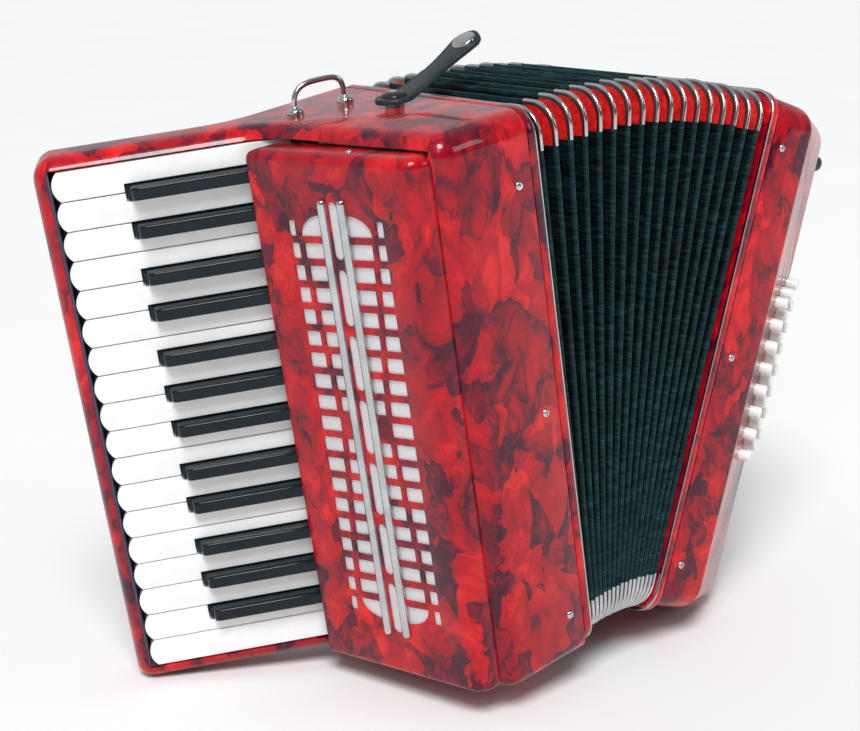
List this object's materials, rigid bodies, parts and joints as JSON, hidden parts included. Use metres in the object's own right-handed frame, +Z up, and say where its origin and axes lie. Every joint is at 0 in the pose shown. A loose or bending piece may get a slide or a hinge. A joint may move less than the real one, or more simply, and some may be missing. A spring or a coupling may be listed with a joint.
{
  "type": "piano accordion",
  "caption": "Piano accordion in red pearloid, its bellows fanned open, with a piano keyboard, a slotted grille and bass buttons.",
  "frame": {"origin": "centre of the bounding box on the surface that the instrument stands on", "axes": "+X from the keyboard side to the bass side, +Y from the front to the player, +Z up as it stands on its two outer bottom edges with the bellows fanned open"},
  "size_m": [0.5342, 0.2472, 0.4216],
  "materials": {
    "red_pearloid": "polished red pearloid celluloid over wood",
    "frame_pearloid": "polished red pearloid over wood",
    "white_key": "polished white",
    "black_key": "polished black",
    "bellows_cloth": "black bookcloth over card",
    "white_button": "polished white",
    "bare_wood": "planed spruce",
    "steel": "drawn wire",
    "chrome": "polished",
    "grille_cloth": "silver grille cloth",
    "black_leather": "glossy black leather",
    "black_plastic": "moulded"
  },
  "bodies": {
    "root": {"treble_case": "red_pearloid", "key_bed": "bare_wood", "key_axle": "steel", "grille_panel": "red_pearloid", "grille_rods": "chrome", "grille_mesh": "grille_cloth", "treble_soundboard": "bare_wood", "treble_reed_blocks": "bare_wood", "treble_bellows_frame": "frame_pearloid", "treble_screws": "chrome", "strap_brackets": "chrome", "closing_strap": "black_leather", "closing_strap_snaps": "chrome"},
    "white_key_01": {"white_key_01": "white_key"},
    "white_key_02": {"white_key_02": "white_key"},
    "white_key_03": {"white_key_03": "white_key"},
    "white_key_04": {"white_key_04": "white_key"},
    "white_key_05": {"white_key_05": "white_key"},
    "white_key_06": {"white_key_06": "white_key"},
    "white_key_07": {"white_key_07": "white_key"},
    "white_key_08": {"white_key_08": "white_key"},
    "white_key_09": {"white_key_09": "white_key"},
    "white_key_10": {"white_key_10": "white_key"},
    "white_key_11": {"white_key_11": "white_key"},
    "white_key_12": {"white_key_12": "white_key"},
    "white_key_13": {"white_key_13": "white_key"},
    "white_key_14": {"white_key_14": "white_key"},
    "white_key_15": {"white_key_15": "white_key"},
    "white_key_16": {"white_key_16": "white_key"},
    "white_key_17": {"white_key_17": "white_key"},
    "white_key_18": {"white_key_18": "white_key"},
    "black_key_01": {"black_key_01": "black_key"},
    "black_key_02": {"black_key_02": "black_key"},
    "black_key_03": {"black_key_03": "black_key"},
    "black_key_04": {"black_key_04": "black_key"},
    "black_key_05": {"black_key_05": "black_key"},
    "black_key_06": {"black_key_06": "black_key"},
    "black_key_07": {"black_key_07": "black_key"},
    "black_key_08": {"black_key_08": "black_key"},
    "black_key_09": {"black_key_09": "black_key"},
    "black_key_10": {"black_key_10": "black_key"},
    "black_key_11": {"black_key_11": "black_key"},
    "black_key_12": {"black_key_12": "black_key"},
    "bellows_fold_1": {"bellows_fold_1": "bellows_cloth"},
    "bellows_fold_2": {"bellows_fold_2": "bellows_cloth"},
    "bellows_fold_3": {"bellows_fold_3": "bellows_cloth"},
    "bellows_fold_4": {"bellows_fold_4": "bellows_cloth"},
    "bellows_fold_5": {"bellows_fold_5": "bellows_cloth"},
    "bellows_fold_6": {"bellows_fold_6": "bellows_cloth"},
    "bellows_fold_7": {"bellows_fold_7": "bellows_cloth"},
    "bellows_fold_8": {"bellows_fold_8": "bellows_cloth"},
    "bass": {"bass_case": "red_pearloid", "bass_bellows_frame": "frame_pearloid", "bass_reed_block": "bare_wood", "bass_hand_strap": "black_leather", "bass_screws": "chrome"},
    "bass_button_row_1": {"bass_button_row_1": "white_button"},
    "bass_button_row_2": {"bass_button_row_2": "white_button"},
    "bass_button_row_3": {"bass_button_row_3": "white_button"},
    "air_button": {"air_button": "black_plastic"}
  },
  "joints": [
    {"name": "bellows_hinge_9", "type": "hinge", "parent": "bellows_fold_8", "child": "bass", "pos_m": [0.04198, -0.02995, 0.03297], "axis": [0, 1, 0], "range_deg": [-3.22, 5]},
    {"name": "bellows_hinge_1", "type": "hinge", "parent": "root", "child": "bellows_fold_1", "pos_m": [-0.00935, -0.02995, 0.02925], "axis": [0, 1, 0], "range_deg": [-1.61, 2.5]},
    {"name": "bellows_hinge_2", "type": "hinge", "parent": "bellows_fold_1", "child": "bellows_fold_2", "pos_m": [-0.0031, -0.02995, 0.03097], "axis": [0, 1, 0], "range_deg": [-3.22, 5]},
    {"name": "bellows_hinge_3", "type": "hinge", "parent": "bellows_fold_2", "child": "bellows_fold_3", "pos_m": [0.00324, -0.02995, 0.03234], "axis": [0, 1, 0], "range_deg": [-3.22, 5]},
    {"name": "bellows_hinge_4", "type": "hinge", "parent": "bellows_fold_3", "child": "bellows_fold_4", "pos_m": [0.00965, -0.02995, 0.03335], "axis": [0, 1, 0], "range_deg": [-3.22, 5]},
    {"name": "bellows_hinge_5", "type": "hinge", "parent": "bellows_fold_4", "child": "bellows_fold_5", "pos_m": [0.0161, -0.02995, 0.034], "axis": [0, 1, 0], "range_deg": [-3.22, 5]},
    {"name": "bellows_hinge_6", "type": "hinge", "parent": "bellows_fold_5", "child": "bellows_fold_6", "pos_m": [0.02258, -0.02995, 0.03429], "axis": [0, 1, 0], "range_deg": [-3.22, 5]},
    {"name": "bellows_hinge_7", "type": "hinge", "parent": "bellows_fold_6", "child": "bellows_fold_7", "pos_m": [0.02907, -0.02995, 0.03421], "axis": [0, 1, 0], "range_deg": [-3.22, 5]},
    {"name": "bellows_hinge_8", "type": "hinge", "parent": "bellows_fold_7", "child": "bellows_fold_8", "pos_m": [0.03554, -0.02995, 0.03377], "axis": [0, 1, 0], "range_deg": [-3.22, 5]},
    {"name": "bass_button_row_1_press", "type": "slide", "parent": "bass", "child": "bass_button_row_1", "axis": [-0.4611, 0.8718, 0.1655], "range_m": [0, 0.004], "stiffness_N_per_m": 300, "springref_m": -0.008},
    {"name": "bass_button_row_2_press", "type": "slide", "parent": "bass", "child": "bass_button_row_2", "axis": [-0.4611, 0.8718, 0.1655], "range_m": [0, 0.004], "stiffness_N_per_m": 300, "springref_m": -0.008},
    {"name": "bass_button_row_3_press", "type": "slide", "parent": "bass", "child": "bass_button_row_3", "axis": [-0.4611, 0.8718, 0.1655], "range_m": [0, 0.004], "stiffness_N_per_m": 300, "springref_m": -0.008},
    {"name": "air_button_press", "type": "slide", "parent": "bass", "child": "air_button", "axis": [-0.9412, 0, 0.3379], "range_m": [0, 0.005], "stiffness_N_per_m": 300, "springref_m": -0.008},
    {"name": "white_key_01_press", "type": "hinge", "parent": "root", "child": "white_key_01", "pos_m": [-0.1407, 0.0163, 0.35669], "axis": [0.1326, 0, -0.9912], "range_deg": [0, 2], "stiffness_Nm_per_rad": 0.6, "springref_deg": -11.46},
    {"name": "white_key_02_press", "type": "hinge", "parent": "root", "child": "white_key_02", "pos_m": [-0.13818, 0.0163, 0.33786], "axis": [0.1326, 0, -0.9912], "range_deg": [0, 2], "stiffness_Nm_per_rad": 0.6, "springref_deg": -11.46},
    {"name": "white_key_03_press", "type": "hinge", "parent": "root", "child": "white_key_03", "pos_m": [-0.13566, 0.0163, 0.31903], "axis": [0.1326, 0, -0.9912], "range_deg": [0, 2], "stiffness_Nm_per_rad": 0.6, "springref_deg": -11.46},
    {"name": "white_key_04_press", "type": "hinge", "parent": "root", "child": "white_key_04", "pos_m": [-0.13314, 0.0163, 0.30019], "axis": [0.1326, 0, -0.9912], "range_deg": [0, 2], "stiffness_Nm_per_rad": 0.6, "springref_deg": -11.46},
    {"name": "white_key_05_press", "type": "hinge", "parent": "root", "child": "white_key_05", "pos_m": [-0.13062, 0.0163, 0.28136], "axis": [0.1326, 0, -0.9912], "range_deg": [0, 2], "stiffness_Nm_per_rad": 0.6, "springref_deg": -11.46},
    {"name": "white_key_06_press", "type": "hinge", "parent": "root", "child": "white_key_06", "pos_m": [-0.1281, 0.0163, 0.26253], "axis": [0.1326, 0, -0.9912], "range_deg": [0, 2], "stiffness_Nm_per_rad": 0.6, "springref_deg": -11.46},
    {"name": "white_key_07_press", "type": "hinge", "parent": "root", "child": "white_key_07", "pos_m": [-0.12558, 0.0163, 0.2437], "axis": [0.1326, 0, -0.9912], "range_deg": [0, 2], "stiffness_Nm_per_rad": 0.6, "springref_deg": -11.46},
    {"name": "white_key_08_press", "type": "hinge", "parent": "root", "child": "white_key_08", "pos_m": [-0.12306, 0.0163, 0.22487], "axis": [0.1326, 0, -0.9912], "range_deg": [0, 2], "stiffness_Nm_per_rad": 0.6, "springref_deg": -11.46},
    {"name": "white_key_09_press", "type": "hinge", "parent": "root", "child": "white_key_09", "pos_m": [-0.12054, 0.0163, 0.20603], "axis": [0.1326, 0, -0.9912], "range_deg": [0, 2], "stiffness_Nm_per_rad": 0.6, "springref_deg": -11.46},
    {"name": "white_key_10_press", "type": "hinge", "parent": "root", "child": "white_key_10", "pos_m": [-0.11802, 0.0163, 0.1872], "axis": [0.1326, 0, -0.9912], "range_deg": [0, 2], "stiffness_Nm_per_rad": 0.6, "springref_deg": -11.46},
    {"name": "white_key_11_press", "type": "hinge", "parent": "root", "child": "white_key_11", "pos_m": [-0.1155, 0.0163, 0.16837], "axis": [0.1326, 0, -0.9912], "range_deg": [0, 2], "stiffness_Nm_per_rad": 0.6, "springref_deg": -11.46},
    {"name": "white_key_12_press", "type": "hinge", "parent": "root", "child": "white_key_12", "pos_m": [-0.11298, 0.0163, 0.14954], "axis": [0.1326, 0, -0.9912], "range_deg": [0, 2], "stiffness_Nm_per_rad": 0.6, "springref_deg": -11.46},
    {"name": "white_key_13_press", "type": "hinge", "parent": "root", "child": "white_key_13", "pos_m": [-0.11046, 0.0163, 0.1307], "axis": [0.1326, 0, -0.9912], "range_deg": [0, 2], "stiffness_Nm_per_rad": 0.6, "springref_deg": -11.46},
    {"name": "white_key_14_press", "type": "hinge", "parent": "root", "child": "white_key_14", "pos_m": [-0.10794, 0.0163, 0.11187], "axis": [0.1326, 0, -0.9912], "range_deg": [0, 2], "stiffness_Nm_per_rad": 0.6, "springref_deg": -11.46},
    {"name": "white_key_15_press", "type": "hinge", "parent": "root", "child": "white_key_15", "pos_m": [-0.10542, 0.0163, 0.09304], "axis": [0.1326, 0, -0.9912], "range_deg": [0, 2], "stiffness_Nm_per_rad": 0.6, "springref_deg": -11.46},
    {"name": "white_key_16_press", "type": "hinge", "parent": "root", "child": "white_key_16", "pos_m": [-0.1029, 0.0163, 0.07421], "axis": [0.1326, 0, -0.9912], "range_deg": [0, 2], "stiffness_Nm_per_rad": 0.6, "springref_deg": -11.46},
    {"name": "white_key_17_press", "type": "hinge", "parent": "root", "child": "white_key_17", "pos_m": [-0.10038, 0.0163, 0.05538], "axis": [0.1326, 0, -0.9912], "range_deg": [0, 2], "stiffness_Nm_per_rad": 0.6, "springref_deg": -11.46},
    {"name": "white_key_18_press", "type": "hinge", "parent": "root", "child": "white_key_18", "pos_m": [-0.09786, 0.0163, 0.03654], "axis": [0.1326, 0, -0.9912], "range_deg": [0, 2], "stiffness_Nm_per_rad": 0.6, "springref_deg": -11.46},
    {"name": "black_key_01_press", "type": "hinge", "parent": "root", "child": "black_key_01", "pos_m": [-0.13944, 0.0163, 0.34727], "axis": [0.1326, 0, -0.9912], "range_deg": [0, 2], "stiffness_Nm_per_rad": 0.6, "springref_deg": -11.46},
    {"name": "black_key_02_press", "type": "hinge", "parent": "root", "child": "black_key_02", "pos_m": [-0.13621, 0.0163, 0.32319], "axis": [0.1326, 0, -0.9912], "range_deg": [0, 2], "stiffness_Nm_per_rad": 0.6, "springref_deg": -11.46},
    {"name": "black_key_03_press", "type": "hinge", "parent": "root", "child": "black_key_03", "pos_m": [-0.1322, 0.0163, 0.29316], "axis": [0.1326, 0, -0.9912], "range_deg": [0, 2], "stiffness_Nm_per_rad": 0.6, "springref_deg": -11.46},
    {"name": "black_key_04_press", "type": "hinge", "parent": "root", "child": "black_key_04", "pos_m": [-0.12904, 0.0163, 0.26957], "axis": [0.1326, 0, -0.9912], "range_deg": [0, 2], "stiffness_Nm_per_rad": 0.6, "springref_deg": -11.46},
    {"name": "black_key_05_press", "type": "hinge", "parent": "root", "child": "black_key_05", "pos_m": [-0.12502, 0.0163, 0.23953], "axis": [0.1326, 0, -0.9912], "range_deg": [0, 2], "stiffness_Nm_per_rad": 0.6, "springref_deg": -11.46},
    {"name": "black_key_06_press", "type": "hinge", "parent": "root", "child": "black_key_06", "pos_m": [-0.1218, 0.0163, 0.21545], "axis": [0.1326, 0, -0.9912], "range_deg": [0, 2], "stiffness_Nm_per_rad": 0.6, "springref_deg": -11.46},
    {"name": "black_key_07_press", "type": "hinge", "parent": "root", "child": "black_key_07", "pos_m": [-0.11858, 0.0163, 0.19136], "axis": [0.1326, 0, -0.9912], "range_deg": [0, 2], "stiffness_Nm_per_rad": 0.6, "springref_deg": -11.46},
    {"name": "black_key_08_press", "type": "hinge", "parent": "root", "child": "black_key_08", "pos_m": [-0.11456, 0.0163, 0.16133], "axis": [0.1326, 0, -0.9912], "range_deg": [0, 2], "stiffness_Nm_per_rad": 0.6, "springref_deg": -11.46},
    {"name": "black_key_09_press", "type": "hinge", "parent": "root", "child": "black_key_09", "pos_m": [-0.1114, 0.0163, 0.13774], "axis": [0.1326, 0, -0.9912], "range_deg": [0, 2], "stiffness_Nm_per_rad": 0.6, "springref_deg": -11.46},
    {"name": "black_key_10_press", "type": "hinge", "parent": "root", "child": "black_key_10", "pos_m": [-0.10738, 0.0163, 0.10771], "axis": [0.1326, 0, -0.9912], "range_deg": [0, 2], "stiffness_Nm_per_rad": 0.6, "springref_deg": -11.46},
    {"name": "black_key_11_press", "type": "hinge", "parent": "root", "child": "black_key_11", "pos_m": [-0.10416, 0.0163, 0.08362], "axis": [0.1326, 0, -0.9912], "range_deg": [0, 2], "stiffness_Nm_per_rad": 0.6, "springref_deg": -11.46},
    {"name": "black_key_12_press", "type": "hinge", "parent": "root", "child": "black_key_12", "pos_m": [-0.10094, 0.0163, 0.05954], "axis": [0.1326, 0, -0.9912], "range_deg": [0, 2], "stiffness_Nm_per_rad": 0.6, "springref_deg": -11.46}
  ],
  "couplings": [
    {"joint": "bellows_hinge_1", "follows": "bellows_hinge_9", "ratio": 0.5},
    {"joint": "bellows_hinge_2", "follows": "bellows_hinge_9", "ratio": 1},
    {"joint": "bellows_hinge_3", "follows": "bellows_hinge_9", "ratio": 1},
    {"joint": "bellows_hinge_4", "follows": "bellows_hinge_9", "ratio": 1},
    {"joint": "bellows_hinge_5", "follows": "bellows_hinge_9", "ratio": 1},
    {"joint": "bellows_hinge_6", "follows": "bellows_hinge_9", "ratio": 1},
    {"joint": "bellows_hinge_7", "follows": "bellows_hinge_9", "ratio": 1},
    {"joint": "bellows_hinge_8", "follows": "bellows_hinge_9", "ratio": 1}
  ]
}
